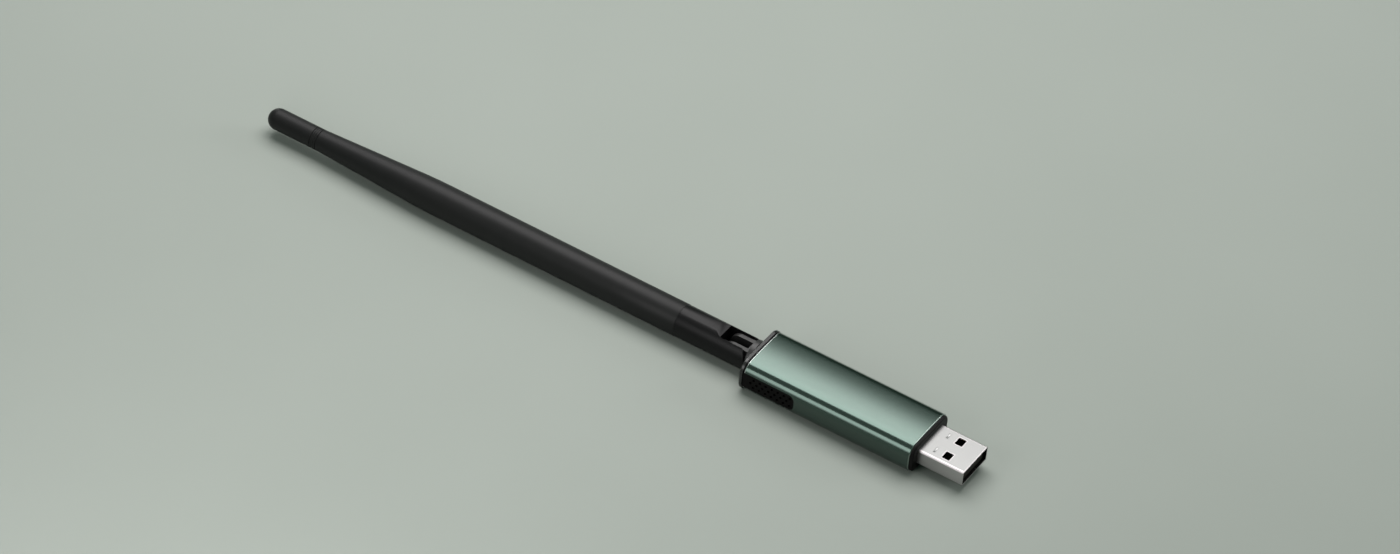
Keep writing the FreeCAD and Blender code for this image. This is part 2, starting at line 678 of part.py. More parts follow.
def make_fork():
    """Lower piece of the rod: two cheeks with a closed floor, a sloped flat and a spigot."""
    nose = S.fork_nose
    ends = both(S.fork_diameter + past * 2)
    stem = box("fork_stem_side", (rod_front, pivot), ends, both(S.fork_diameter + past * 2))
    upper = cross_rod("fork_upper_side", nose, pivot, ends)
    sweep = cross_rod("fork_lower_round", fork_radius, pivot, ends)
    below = box("fork_lower_box", (pivot, pivot + nose), ends, (-fork_radius, ZERO))
    side = fuse("fork_side", stem, upper, common("fork_lower_side", sweep, below))
    bar_x = (rod_front, pivot + fork_radius)
    solid = common("fork_round", rod("fork_bar", fork_radius, bar_x), side)
    floor = -S.prong_height / 2 - S.fork_floor_gap
    slot = box("fork_slot", (slot_end, pivot + S.fork_diameter), both(S.fork_slot),
               (floor, S.fork_diameter))
    flat_z = fork_radius - S.flat_depth
    front = pivot + S.fork_diameter
    flat = prism("fork_flat", [(slot_end - S.flat_length, fork_radius), (slot_end, flat_z),
                               (front, flat_z), (front, S.fork_diameter),
                               (slot_end - S.flat_length, S.fork_diameter)], ends)
    reach = S.prong_outside / 2 + S.trunnion_length + S.trunnion_end_gap
    holes = cross_rod("trunnion_holes", S.trunnion_diameter / 2 + S.trunnion_play, pivot,
                      (-reach, reach))
    spigot = rod("fork_spigot", rod_bore - S.rod_bore_play, (rod_front - S.fork_spigot, rod_front + past))
    bore = rod("fork_bore", S.cable_bore / 2, (rod_front - S.fork_spigot - past, pivot))
    sub_part("rod_fork", cut("fork_piece", fuse("fork_solid", solid, spigot), slot, flat, holes, bore))


def make_rod():
    """Thin-walled rod: thick part, taper, fine ring grooves and a thin part with a round tip."""
    tip_middle = rod_tip + tip_radius
    edge = rod_front - S.rod_chamfer
    skin = fuse("rod_skin", cone("rod_edge", rod_radius, rod_radius - S.rod_chamfer, (edge, rod_front)),
                rod("rod_thick", rod_radius, (taper_front, edge)),
                cone("rod_taper", tip_radius, rod_radius, (taper_rear, taper_front)),
                rod("rod_thin", tip_radius, (tip_middle, taper_rear)),
                ball("rod_end", tip_radius, tip_middle))
    hollow = fuse("rod_hollow", rod("hollow_thick", rod_bore, (taper_front, rod_front + past)),
                  cone("hollow_taper", tip_bore, rod_bore, (taper_rear, taper_front)),
                  rod("hollow_thin", tip_bore, (tip_middle, taper_rear)))
    grooves = []
    for index in range(RING_GROOVES):
        ring = doc.addObject("Part::Torus", f"ring_groove_{index}")
        bind(ring, Radius1=tip_radius, Radius2=S.ring_depth)
        grooves.append(placed(ring, "X", taper_rear - S.ring_pitch * (index + 0.5), ZERO, ZERO))
    sub_part("rod_tube", cut("rod_piece", skin, hollow, *grooves))


def make_feed():
    """Feed cable in three lengths that meet in the shaft and in the fold, and what it feeds."""
    notch_end = board_rear + S.notch_length
    sub_part("feed_cable_housing", rod("cable_housing", cable_radius, (shaft_front, notch_end)))
    core_x = (notch_end, notch_end + S.core_length)
    sub_part("feed_cable_core", rod("cable_core", S.core_diameter / 2, core_x))
    straight = rod("cable_straight", cable_radius, (pivot, shaft_front))
    sub_part("feed_cable_knuckle", fuse("cable_knuckle", straight, ball("cable_bend", cable_radius, pivot)))
    dipole_front = rod_front - S.dipole_behind
    dipole_rear = dipole_front - S.dipole_length
    cable_start = pivot - cable_radius - S.cable_play
    sub_part("feed_cable_rod", rod("cable_rod", cable_radius, (dipole_rear, cable_start)))

    brass = rod("dipole_bar", S.dipole_diameter / 2, (dipole_rear, dipole_front))
    bore = rod("dipole_bore", S.dipole_diameter / 2 - S.dipole_sheet,
               (dipole_rear - past, dipole_front - S.dipole_sheet))
    hole = rod("dipole_hole", cable_radius + S.spacer_play, (dipole_rear - past, dipole_front + past))
    sub_part("dipole_sleeve", cut("dipole_piece", brass, bore, hole))
    wire_tip = dipole_rear - S.radiator_length
    sub_part("radiator_wire", rod("radiator", S.radiator_diameter / 2, (wire_tip, dipole_rear)))

    taper_rate = (rod_bore - tip_bore) / S.taper_length
    spacer_rear = wire_tip + S.spacer_length
    narrowed = rod_bore - (taper_front - spacer_rear) * taper_rate
    seats = [("front", dipole_front + S.spacer_length * 4, rod_bore, cable_radius),
             ("middle", dipole_rear + S.spacer_length * 2, rod_bore, S.dipole_diameter / 2),
             ("tip", spacer_rear, narrowed, S.radiator_diameter / 2)]
    for name, place, outer, inner in seats:
        end = place + S.spacer_length
        disc = rod(f"spacer_disc_{name}", outer - S.spacer_play, (place, end))
        core = rod(f"spacer_hole_{name}", inner + S.spacer_play, (place - past, end + past))
        sub_part(f"rod_spacer_{name}", cut(f"spacer_piece_{name}", disc, core))


def screw_places():
    """The two board screws, side by side behind the plug's contacts."""
    x = shell_rear - S.contact_tail - S.part_gap / 2 - S.screw_head_diameter / 2
    side = board_width / 2 - S.screw_margin
    return [("far", x, side), ("near", x, -side)]


def carrier_range():
    front = sleeve_front - S.front_spigot - S.carrier_end_gap
    rear = sleeve_rear + S.vent_length + S.carrier_end_gap
    return front, rear


def make_carrier():
    """Tray under the board: a floor, two rails and two screw bosses, shaped to the sleeve."""
    front, rear = carrier_range()
    blank = section("carrier_bar", (rear, front), spigot_width, spigot_height, spigot_corner)
    above = box("carrier_above", (rear - past, front + past), both(S.body_width),
                (board_bottom, S.body_height))
    half = spigot_width / 2 - S.carrier_rail
    trough = box("carrier_trough", (rear - past, front + past), (-half, half), (floor_top, S.body_height))
    tray = cut("carrier_tray", blank, above, trough)
    bosses = []
    holes = []
    for name, x, y in screw_places():
        bosses.append(post(f"boss_{name}", S.boss_diameter / 2, x, y, (floor_top - 0.2, board_bottom)))
        holes.append(post(f"boss_hole_{name}", S.screw_diameter / 2 + S.screw_play, x, y,
                          (floor_top, board_bottom + past)))
    sub_part("board_carrier", cut("carrier_piece", fuse("carrier_solid", tray, *bosses), *holes))
    for name, x, y in screw_places():
        shank = post(f"shank_{name}", S.screw_diameter / 2, x, y, (floor_top, board_top))
        head_top = board_top + S.screw_head_height
        head = post(f"head_{name}", S.screw_head_diameter / 2, x, y, (board_top, head_top))
        socket_z = (head_top - S.socket_depth, head_top + past)
        socket = post(f"socket_{name}", S.screw_diameter / 2, x, y, socket_z)
        solid = fuse(f"screw_solid_{name}", shank, head)
        sub_part(f"board_screw_{name}", cut(f"screw_{name}", solid, socket))


def make_board():
    """Circuit board with a notch for the feed cable and the holes of its two screws."""
    blank = box("board_blank", (board_rear, board_front), both(board_width), (board_bottom, board_top))
    notch = box("board_notch", (board_rear - past, board_rear + S.notch_length), both(S.notch_width),
                (board_bottom - past, board_top + past))
    holes = [post(f"board_hole_{name}", S.screw_diameter / 2 + S.screw_play, x, y,
                  (board_bottom - past, board_top + past)) for name, x, y in screw_places()]
    sub_part("main_board", cut("board_piece", blank, notch, *holes))


def chip(label, rear, length, middle, width, height, base=None):
    """A flat package that stands on the board, or on the face given."""
    low = board_top if base is None else base
    item = box(f"{label}_body", (rear, rear + length), (middle - width / 2, middle + width / 2),
               (low, low + height))
    sub_part(label, item)


def make_electronics():
    """What stands on the board, from the plug back to the feed cable."""
    front = shell_rear - S.contact_tail - S.part_gap
    for side, name in ((1, "link"), (-1, "power")):
        chip(f"{name}_lamp", front - S.lamp_length, S.lamp_length, S.lamp_side * side, S.lamp_width,
             S.lamp_height)
    bridge_front = screw_places()[0][1] - S.screw_head_diameter / 2 - S.part_gap / 2
    chip("usb_bridge_chip", bridge_front - S.bridge_side, S.bridge_side, -S.bridge_side / 2, S.bridge_side,
         S.bridge_height)
    regulator_rear = bridge_front - S.bridge_side
    chip("voltage_regulator", regulator_rear, S.regulator_length, S.part_gap + S.regulator_width / 2,
         S.regulator_width, S.regulator_height)

    clamp_rear = board_rear + S.notch_length - S.clamp_length
    clamp_z = (board_top, board_top + S.clamp_height)
    clamp = box("clamp_block", (clamp_rear, clamp_rear + S.clamp_length), both(S.clamp_width), clamp_z)
    hole_x = (clamp_rear - past, clamp_rear + S.clamp_length + past)
    hole = rod("clamp_hole", cable_radius + S.spacer_play, hole_x)
    sub_part("cable_clamp", cut("clamp_piece", clamp, hole))
    pad_rear = board_rear + S.notch_length + S.core_length - S.pad_length
    chip("feed_solder_pad", pad_rear, S.pad_length, ZERO, S.pad_width, -board_top - S.core_diameter / 2)

    row_rear = pad_rear + S.pad_length + S.part_gap
    for index in range(CAPACITORS):
        middle = S.capacitor_pitch * (index - (CAPACITORS - 1) / 2)
        chip(f"chip_capacitor_{index + 1}", row_rear, S.capacitor_width, middle, S.capacitor_length,
             S.capacitor_height)
    can_rear = row_rear + S.capacitor_width + S.part_gap
    can_front = bridge_front - S.bridge_side - S.part_gap
    can_x = (can_rear, can_front)
    can_top = board_top + S.shield_height
    can = box("can_block", can_x, both(shield_width), (board_top, can_top))
    inside = box("can_inside", (can_rear + S.shield_sheet, can_front - S.shield_sheet),
                 both(shield_width - S.shield_sheet * 2), (board_top - past, can_top - S.shield_sheet))
    sub_part("radio_shield", cut("can_piece", can, inside))
    radio_rear = can_front - S.shield_sheet - S.part_gap - S.radio_side
    chip("radio_chip", radio_rear, S.radio_side, ZERO, S.radio_side, S.radio_height)
    chip("radio_crystal", radio_rear - S.part_gap - S.crystal_length, S.crystal_length, ZERO,
         S.crystal_width, S.crystal_height)
    pad_x = (can_rear + S.pad_inset, can_front - S.pad_inset)
    chip("heat_pad", pad_x[0], pad_x[1] - pad_x[0], ZERO, shield_width - S.pad_inset * 2,
         inner_height / 2 - S.heat_pad_gap - can_top, can_top)


def check_and_export():
    doc.recompute()
    for item in doc.Objects:
        if "Invalid" in item.State or "Error" in item.State:
            raise ValueError(f"{item.Name} could not be made: {item.State}")
    for label, item in PARTS:
        if item.Shape.isNull() or not item.Shape.isValid():
            raise ValueError(f"{label} has no valid shape")
    os.makedirs("parts", exist_ok=True)
    for label, item in PARTS:
        item.Shape.exportStep(f"parts/{label}.step")


make_sleeve()
make_rear_cap()
make_vent_panels()
make_front_cap()
make_shell()
make_tongue_and_contacts()
make_knuckle()
make_fork()
make_rod()
make_feed()
make_carrier()
make_board()
make_electronics()
check_and_export()
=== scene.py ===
# %% [markdown]
# # A USB radio stick with a folding rod antenna
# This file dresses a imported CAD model, the frame, for a picture. The frame brings every solid part in
# metres, with its origin under the middle of the stick and +X towards the mouth of the plug.
# Each step below says what a piece or a finish is on the real stick, how it could be made in Blender,
# and why it is made the way it is here.

# %% Load the frame
import json
import math

import bmesh
import bpy
from mathutils import Matrix, Vector


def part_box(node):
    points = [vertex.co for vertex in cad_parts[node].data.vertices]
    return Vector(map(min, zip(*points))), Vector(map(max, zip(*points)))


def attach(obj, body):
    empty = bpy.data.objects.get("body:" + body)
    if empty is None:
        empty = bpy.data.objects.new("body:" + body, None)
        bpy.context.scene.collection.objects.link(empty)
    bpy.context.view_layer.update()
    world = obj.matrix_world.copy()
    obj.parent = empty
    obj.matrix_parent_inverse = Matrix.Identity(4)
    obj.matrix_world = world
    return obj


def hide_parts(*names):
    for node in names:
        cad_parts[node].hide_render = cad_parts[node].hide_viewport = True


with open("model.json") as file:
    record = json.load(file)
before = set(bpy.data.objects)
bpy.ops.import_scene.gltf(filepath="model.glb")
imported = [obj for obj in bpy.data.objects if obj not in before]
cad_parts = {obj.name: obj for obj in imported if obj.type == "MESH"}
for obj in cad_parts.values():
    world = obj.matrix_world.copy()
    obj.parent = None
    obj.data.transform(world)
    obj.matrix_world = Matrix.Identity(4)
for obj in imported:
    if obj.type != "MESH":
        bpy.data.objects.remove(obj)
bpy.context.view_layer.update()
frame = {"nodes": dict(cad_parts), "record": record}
MM = 0.001

# %% [markdown]
# ## The camera
# The photograph was taken with a long lens from in front of the stick, to the right of its plug and
# well above it. A camera could be placed by eye, but the corners of the plug, its windows and the ends
# of the rod give more than enough points to solve for its place, so the angles below come from that
# fit. They are turned into three axes: to the right, up, and back out of the picture.

# %% Camera
AZIMUTH = math.radians(29.525)
ELEVATION = math.radians(42.0)
ROLL = math.radians(5.535)
DISTANCE = 1231.304 * MM
SLIDE_RIGHT = 68.262 * MM
SLIDE_UP = 47.008 * MM
LENS, SENSOR_WIDTH = 127.457, 36
NEAREST, FARTHEST = 0.01, 50
plug_low, plug_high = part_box("usb_shell")
plug_mouth = Vector((plug_high.x, 0, (plug_low.z + plug_high.z) / 2))


def camera_axes(azimuth, elevation, roll):
    """Directions to the right, up and back out of the picture."""
    back = Vector((math.sin(azimuth) * math.cos(elevation), -math.cos(azimuth) * math.cos(elevation),
                   math.sin(elevation)))
    level = Vector((math.cos(azimuth), math.sin(azimuth), 0))
    up = back.cross(level)
    right = level * math.cos(roll) + up * math.sin(roll)
    top = up * math.cos(roll) - level * math.sin(roll)
    return right, top, back


right, top, back = camera_axes(AZIMUTH, ELEVATION, ROLL)
camera = bpy.data.objects.new("camera", bpy.data.cameras.new("camera"))
camera.data.lens = LENS
camera.data.sensor_width = SENSOR_WIDTH
camera.data.clip_start = NEAREST
camera.data.clip_end = FARTHEST
place = plug_mouth - right * SLIDE_RIGHT + top * SLIDE_UP + back * DISTANCE
camera.matrix_world = Matrix.Translation(place) @ Matrix((right, top, back)).transposed().to_4x4()
bpy.context.scene.collection.objects.link(camera)
bpy.context.scene.camera = camera
print("camera at", [round(v, 3) for v in place])

# %% [markdown]
# ## Arithmetic on shader sockets
# A material is a net of nodes. Linking them by hand hides the sum that they work out, so one small
# class wraps an output socket and lets Python's own operators add the Math nodes. Every other kind of
# node comes from its one method, node().


# %% A socket that can be added and multiplied
class Wire:
    """An output socket of a material, or only its tree when there is no socket yet."""

    def __init__(self, tree, socket=None):
        self.tree = tree
        self.socket = socket

    def node(self, kind, settings=None, inputs=None, output=0):
        """Adds a node with its settings, and then the values or links of its sockets."""
        made = self.tree.nodes.new(kind)
        for name, value in (settings or {}).items():
            setattr(made, name, value)
        for name, value in (inputs or {}).items():
            if isinstance(value, Wire):
                self.tree.links.new(value.socket, made.inputs[name])
            else:
                made.inputs[name].default_value = value
        return Wire(self.tree, made.outputs[output])

    def math(self, operation, first, second=0.0):
        return self.node("ShaderNodeMath", {"operation": operation}, {0: first, 1: second})

    def __add__(self, other):
        return self.math("ADD", self, other)

    def __radd__(self, other):
        return self.math("ADD", other, self)

    def __sub__(self, other):
        return self.math("SUBTRACT", self, other)

    def __rsub__(self, other):
        return self.math("SUBTRACT", other, self)

    def __mul__(self, other):
        return self.math("MULTIPLY", self, other)

    def __rmul__(self, other):
        return self.math("MULTIPLY", other, self)

    def __lt__(self, other):
        return self.math("LESS_THAN", self, other)

    def __gt__(self, other):
        return self.math("GREATER_THAN", self, other)

    def __abs__(self):
        return self.math("ABSOLUTE", self)


MIX_SHARE, MIX_FIRST, MIX_SECOND, MIX_COLOUR = 0, 6, 7, 2


def mix(share, first, second):
    """A colour between two others; share is a Wire and each colour three numbers or a Wire."""
    first, second = [c if isinstance(c, Wire) else (*c, 1) for c in (first, second)]
    inputs = {MIX_SHARE: share, MIX_FIRST: first, MIX_SECOND: second}
    return share.node("ShaderNodeMix", {"data_type": "RGBA"}, inputs, MIX_COLOUR)


def start_finish(name):
    """A new material, its shader node, and a Wire to begin from."""
    material = bpy.data.materials.new(name)
    material.use_nodes = True
    shader = material.node_tree.nodes["Principled BSDF"]
    return material, shader, Wire(material.node_tree)


def feed(shader, name, wire):
    """Links a Wire to one of the shader's sockets."""
    wire.tree.links.new(wire.socket, shader.inputs[name])


def place_on(begin):
    """Where a point lies in the frame, in metres."""
    return begin.node("ShaderNodeTexCoord", output="Object")


def part_of(where, axis):
    """One of the three numbers of a place."""
    return where.node("ShaderNodeSeparateXYZ", {}, {0: where}, axis)


def noise(begin, scale, detail=3.0, rough=0.5, stretch=(1, 1, 1)):
    """Cloudy values round 0.5. Scale counts features per metre."""
    spread = begin.node("ShaderNodeMapping", {}, {"Vector": place_on(begin), "Scale": stretch})
    return begin.node("ShaderNodeTexNoise", {}, {"Vector": spread, "Scale": scale, "Detail": detail,
                                                "Roughness": rough})


def bump(shader, height, depth):
    """Feeds a height of 0 to 1, times a depth in metres, to the shader's normal."""
    inputs = {"Height": height, "Distance": depth, "Strength": 1.0}
    feed(shader, "Normal", height.node("ShaderNodeBump", {}, inputs))


print("shader helpers ready")

# %% [markdown]
# ## The floor
# The stick lies on a plain sheet of pale studio paper. A single large face is enough for it.

# %% Floor
FLOOR_REACH = 6.0


def floor_material():
    """Pale paper with soft clouds in its colour."""
    material, shader, begin = start_finish("floor_paper")
    shader.inputs["Roughness"].default_value = 0.9
    shader.inputs["Specular IOR Level"].default_value = 0.2
    cloud = noise(begin, 14, 2)
    feed(shader, "Base Color", mix(cloud, (0.265, 0.295, 0.268), (0.285, 0.315, 0.288)))
    return material


def make_floor():
    """One large face at the height that the stick stands on."""
    mesh = bpy.data.meshes.new("floor")
    corners = [(x * FLOOR_REACH, y * FLOOR_REACH, 0) for x, y in ((-1, -1), (1, -1), (1, 1), (-1, 1))]
    mesh.from_pydata(corners, [], [(0, 1, 2, 3)])
    mesh.materials.append(floor_material())
    floor = bpy.data.objects.new("floor", mesh)
    bpy.context.scene.collection.objects.link(floor)
    return floor


print("floor at height", make_floor().location.z)

# %% [markdown]
# ## The lights
# A picture of satin metal is a picture of its lights. A surface that leans towards the near side by
# some degrees mirrors one direction of the room, so each panel here is given by the leans that it
# fills: a broad one over the stick fills the near half of the sleeve's crowned top and the start of
# its corner, and a low one in front draws the line along the corner. The dark stripe between them is
# the gap between the panels, which a faint panel only lightens. A softbox fades towards its rim, and
# strips of falling brightness copy that.

# %% Panels placed by reflection
sleeve_low, sleeve_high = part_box("housing_sleeve")
stick_height = (sleeve_low.z + sleeve_high.z) / 2
VIEW_TILT = math.degrees(math.atan2(-back.y, back.z))


def stand_light(name, light, matrix):
    """Puts a light in the scene where the camera can't see the lamp itself."""
    lamp = bpy.data.objects.new(name, light)
    lamp.matrix_world = matrix
    lamp.visible_camera = False
    bpy.context.scene.collection.objects.link(lamp)
    print(name, "stands", [round(v, 2) for v in lamp.location], "watts", round(light.energy, 2))


def panel(name, leans, distance, span, radiance, colour=(1, 1, 1)):
    """A soft light along the stick, seen in surfaces whose lean is between two angles, in degrees."""
    tilt = math.radians(leans[0] + leans[1] - VIEW_TILT)
    width = 2 * distance * math.tan(math.radians(leans[1] - leans[0]))
    middle_x, length = span
    light = bpy.data.lights.new(name, "AREA")
    light.shape = "RECTANGLE"
    light.size = length
    light.size_y = width
    light.energy = radiance * math.pi * length * width
    light.color = colour
    towards = Vector((0, -math.sin(tilt), math.cos(tilt)))
    along = Vector((1, 0, 0))
    axes = Matrix((along, towards.cross(along), towards)).transposed().to_4x4()
    middle = Vector((middle_x, 0, stick_height)) + towards * distance
    stand_light(name, light, Matrix.Translation(middle) @ axes)


# %% The broad panel above the stick, its fading rim and the faint panel beside it
TOP_DISTANCE = 0.6
TOP_SPAN = (-0.133, 0.735)
TOP_LEANS = (3.1, 23.8)
TOP_RADIANCE = 5.0
TOP_FADE = (0.98, 0.80, 0.40, 0.10, 0.01)
FADE_END = -3.0
FILL_LEANS = (23.8, 45.0)
FILL_RADIANCE = 0.28
SOFTBOX_COLOUR = (1.05, 1.0, 1.01)

panel("top_panel", TOP_LEANS, TOP_DISTANCE, TOP_SPAN, TOP_RADIANCE, SOFTBOX_COLOUR)
strip = (FADE_END - TOP_LEANS[0]) / len(TOP_FADE)
for index, share in enumerate(TOP_FADE):
    start = TOP_LEANS[0] + strip * index
    name = "top_fade_%d" % (index + 1)
    panel(name, (start + strip, start), TOP_DISTANCE, TOP_SPAN, TOP_RADIANCE * share, SOFTBOX_COLOUR)
panel("fill_panel", FILL_LEANS, TOP_DISTANCE, TOP_SPAN, FILL_RADIANCE)

# %% The low panel in front
FRONT_DISTANCE = 0.26
FRONT_SPAN = (0.001, 0.140)
FRONT_LEANS = (45.2, 58)
FRONT_RADIANCE = 3.7
FRONT_FADE = {(58, 61): 0.50, (61, 64): 0.22, (64, 67): 0.06}

panel("front_panel", FRONT_LEANS, FRONT_DISTANCE, FRONT_SPAN, FRONT_RADIANCE, SOFTBOX_COLOUR)
for leans, share in FRONT_FADE.items():
    name = "front_fade_%d" % leans[0]
    panel(name, leans, FRONT_DISTANCE, FRONT_SPAN, FRONT_RADIANCE * share, SOFTBOX_COLOUR)

# %% [markdown]
# ## Small lights for the cut edges
# The cut ends of the sleeve are narrow and face their own way, so no large panel shows in them. A light
# for them could be placed by trial. The mirror rule is quicker: the light stands where a ray from the
# camera would go after the edge sends it on. One small square serves each end.


# %% Edge lights
def edge_light(name, normal, distance, size, radiance):
    """A soft square that a small edge mirrors, given the direction that the edge faces."""
    normal = Vector(normal).normalized()
    towards = 2 * normal.dot(back) * normal - back
    light = bpy.data.lights.new(name, "AREA")
    light.shape = "SQUARE"
    light.size = size
    light.energy = radiance * math.pi * size ** 2
    middle = Vector(((sleeve_low.x + sleeve_high.x) / 2, 0, sleeve_high.z)) + towards * distance
    facing = towards.to_track_quat("Z", "X").to_matrix().to_4x4()
    stand_light(name, light, Matrix.Translation(middle) @ facing)


edge_light("front_edge_light", normal=(0.7, 0, 0.7), distance=1.2, size=0.34, radiance=9.0)
edge_light("rear_edge_light", normal=(-0.40, 0, 0.92), distance=2.0, size=0.40, radiance=4.5)

# %% Dim room
ROOM_COLOUR = (0.58, 1.0, 0.76, 1)
ROOM_STRENGTH = 0.12
world = bpy.data.worlds.new("studio")
bpy.context.scene.world = world
world.use_nodes = True
room = world.node_tree.nodes["Background"]
room.inputs["Color"].default_value = ROOM_COLOUR
room.inputs["Strength"].default_value = ROOM_STRENGTH
bpy.context.scene.view_settings.view_transform = "Standard"
print("room strength", ROOM_STRENGTH)

# %% [markdown]
# ## Finishes
# Each finish is a Principled shader. What is the same all over is set on the shader's own sockets,
# and only what changes over the surface, such as the grain of a moulding or the brightness of a cut
# edge, comes from nodes.
#
# The sleeve is bead-blasted aluminium, dyed green in its oxide layer and cut bright at both ends after
# that. Green paint would be easier, but dyed metal mirrors its lights in its own colour, under a clear
# layer that mirrors them white. So the shader is metallic with a coat, and the cut ends are told from
# the rest by their place along the stick.

# %% Anodised aluminium
REAR_CUT = 0.21 * MM
FRONT_CUT = 0.16 * MM
CUT_ROUGHER = 0.12


def anodised_green(low_x, high_x):
    """Dark green metal with a fine grain, and a bright cut at each end."""
    material, shader, begin = start_finish("anodised_green")
    shader.inputs["Metallic"].default_value = 1.0
    shader.inputs["Coat Weight"].default_value = 1.0
    shader.inputs["Coat Roughness"].default_value = 0.16
    x = part_of(place_on(begin), "X")
    rear_edge = x < low_x + REAR_CUT
    front_edge = x > high_x - FRONT_CUT
    dye = noise(begin, 900, 4, 0.6, (0.3, 1, 1))
    green = mix(dye, (0.025, 0.055, 0.042), (0.031, 0.063, 0.049))
    green = mix(rear_edge, green, (0.90, 0.96, 0.93))
    feed(shader, "Base Color", mix(front_edge, green, (0.26, 0.32, 0.29)))
    grain = noise(begin, 9000, 2, 0.5)
    feed(shader, "Roughness", grain * 0.05 + 0.15 + (rear_edge + front_edge) * CUT_ROUGHER)
    bump(shader, grain, 0.003 * MM)
    return material


sleeve_finish = anodised_green(sleeve_low.x, sleeve_high.x)
print("finish:", sleeve_finish.name)

# %% [markdown]
# ## Black mouldings
# The caps, the hinge and the rod are black plastic from spark-eroded moulds. Pure black would look like
# a hole in the picture: real black plastic is a very dark grey that clouds a little, and its fine grain
# spreads the light. One function makes them all, and each piece has its own grey, roughness and shine.


# %% Black mouldings
def moulded(name, dark, light, rough, shine=0.3, grain_per_metre=6500, depth=0.004 * MM):
    """A fine spark-eroded moulding: cloudy colour, and a grain that is both rough and raised."""
    material, shader, begin = start_finish(name)
    shader.inputs["Specular IOR Level"].default_value = shine
    shader.inputs["Specular Tint"].default_value = (0.97, 1.0, 0.99, 1)
    cloud = noise(begin, 260, 3)
    feed(shader, "Base Color", mix(cloud, dark, light))
    grain = noise(begin, grain_per_metre, 3, 0.55)
    feed(shader, "Roughness", grain * 0.16 + (rough - 0.08))
    bump(shader, grain, depth)
    return material


cap_finish = moulded("black_cap", (0.0070, 0.0064, 0.0063), (0.0100, 0.0092, 0.0090), 0.44, 0.09)
rim_finish = moulded("glossy_black_rim", (0.007, 0.007, 0.007), (0.010, 0.010, 0.010), 0.26, 0.46,
                     grain_per_metre=5200, depth=0.001 * MM)
knuckle_finish = moulded("black_knuckle", (0.013, 0.0125, 0.0125), (0.018, 0.0175, 0.0175), 0.42, 0.42)
rod_finish = moulded("black_rod", (0.0095, 0.0095, 0.0095), (0.0130, 0.0130, 0.0130), 0.44, 0.18,
                     grain_per_metre=5200, depth=0.006 * MM)
fork_finish = moulded("black_fork", (0.0036, 0.0033, 0.0036), (0.0052, 0.0048, 0.0052), 0.33, 0.17,
                      grain_per_metre=5200, depth=0.003 * MM)
vent_finish = moulded("black_vent", (0.0045, 0.004, 0.004), (0.006, 0.0055, 0.0055), 0.5, 0.05)
insulator_finish = moulded("plug_insulator", (0.016, 0.013, 0.011), (0.021, 0.017, 0.014), 0.45)
carrier_finish = moulded("grey_carrier", (0.055, 0.056, 0.058), (0.070, 0.071, 0.073), 0.5)
print("mouldings:", cap_finish.name, rod_finish.name, vent_finish.name, insulator_finish.name)

# %% [markdown]
# ## Plated and drawn metals
# The plug is folded steel with a nickel plate that has gone dull. Its colour is made brighter along its
# edges and round its windows, which is a painted highlight, and dark inside its mouth, which is painted
# shade. The highlight could be painted on by hand. Here it follows the distance to the nearest edge, worked
# out from the place on the plug, so it always lies where the shape has it. The other metals are small and
# only need fine lines along the stick.


# %% Metals
def metal(name, dull, bright, rough):
    """Plated or drawn metal with fine lines along the stick."""
    material, shader, begin = start_finish(name)
    shader.inputs["Metallic"].default_value = 1.0
    lines = noise(begin, 5000, 3, 0.6, (0.05, 1, 1))
    feed(shader, "Base Color", mix(lines, dull, bright))
    feed(shader, "Roughness", lines * 0.12 + (rough - 0.06))
    bump(shader, lines, 0.001 * MM)
    return material


steel_finish = metal("plain_steel", (0.52, 0.52, 0.52), (0.60, 0.60, 0.60), 0.32)
can_finish = metal("tinned_sheet", (0.62, 0.62, 0.62), (0.70, 0.70, 0.70), 0.35)
gold_finish = metal("gold_plate", (0.80, 0.58, 0.24), (0.86, 0.65, 0.30), 0.25)
brass_finish = metal("drawn_brass", (0.68, 0.52, 0.24), (0.76, 0.60, 0.30), 0.3)
copper_finish = metal("bare_copper", (0.66, 0.34, 0.21), (0.76, 0.42, 0.28), 0.32)
print("metals:", steel_finish.name, can_finish.name, gold_finish.name, brass_finish.name)

# %% Nickel plate of the plug, with a painted highlight and painted shade
SHELL_SHEET = 0.3 * MM
SHELL_EDGE = 0.45 * MM
WINDOW_BACK, WINDOW_SIDE = 6.25 * MM, 3.09 * MM
WINDOW_LENGTH, WINDOW_WIDTH = 2.15 * MM, 2.6 * MM
# Width of the painted highlight along the plug's edges and round its windows.
PAINTED_HIGHLIGHT_WIDTH = 0.34 * MM


def nickel_plate_painted_light(low, high):
    """Dull nickel with a painted highlight along its edges and round its windows, and painted shade inside.
    """
    finish = metal("nickel_plate_painted_light", (0.238, 0.243, 0.238), (0.276, 0.283, 0.278), 0.36)
    tree = finish.node_tree
    shader = tree.nodes["Principled BSDF"]
    outside = Wire(tree, shader.inputs["Base Color"].links[0].from_socket)
    where = place_on(outside)
    x, y, z = (part_of(where, axis) for axis in "XYZ")
    skin = SHELL_SHEET * 0.9
    # Painted shade: the inside of the mouth is found here and given a near black colour below.
    inside = (abs(y) < high.y - skin) * ((z > low.z + skin) * (z < high.z - skin))
    along = abs(x - (high.x - WINDOW_BACK)) - WINDOW_LENGTH / 2
    across = abs(abs(y) - WINDOW_SIDE) - WINDOW_WIDTH / 2
    from_window = along.math("MAXIMUM", along, across)
    from_side = high.y - SHELL_EDGE - abs(y)
    nearest = from_window.math("MINIMUM", from_window, from_side)
    nearest = nearest.math("MINIMUM", nearest, high.x - x)
    # Painted highlight: the colour grows brighter towards the nearest edge or window.
    fall = {"Value": nearest, "From Min": 0.0, "From Max": PAINTED_HIGHLIGHT_WIDTH, "To Min": 1.0, "To Max": 0.0}
    painted_highlight = nearest.node("ShaderNodeMapRange", {"interpolation_type": "SMOOTHSTEP"}, fall)
    bright = mix(painted_highlight, outside, (0.47, 0.448, 0.455))
    # Inside the mouth the colour is near black: painted shade.
    feed(shader, "Base Color", mix(inside, bright, (0.025, 0.024, 0.023)))
    return finish


plug_finish = nickel_plate_painted_light(plug_low, plug_high)
print("plug:", plug_finish.name)

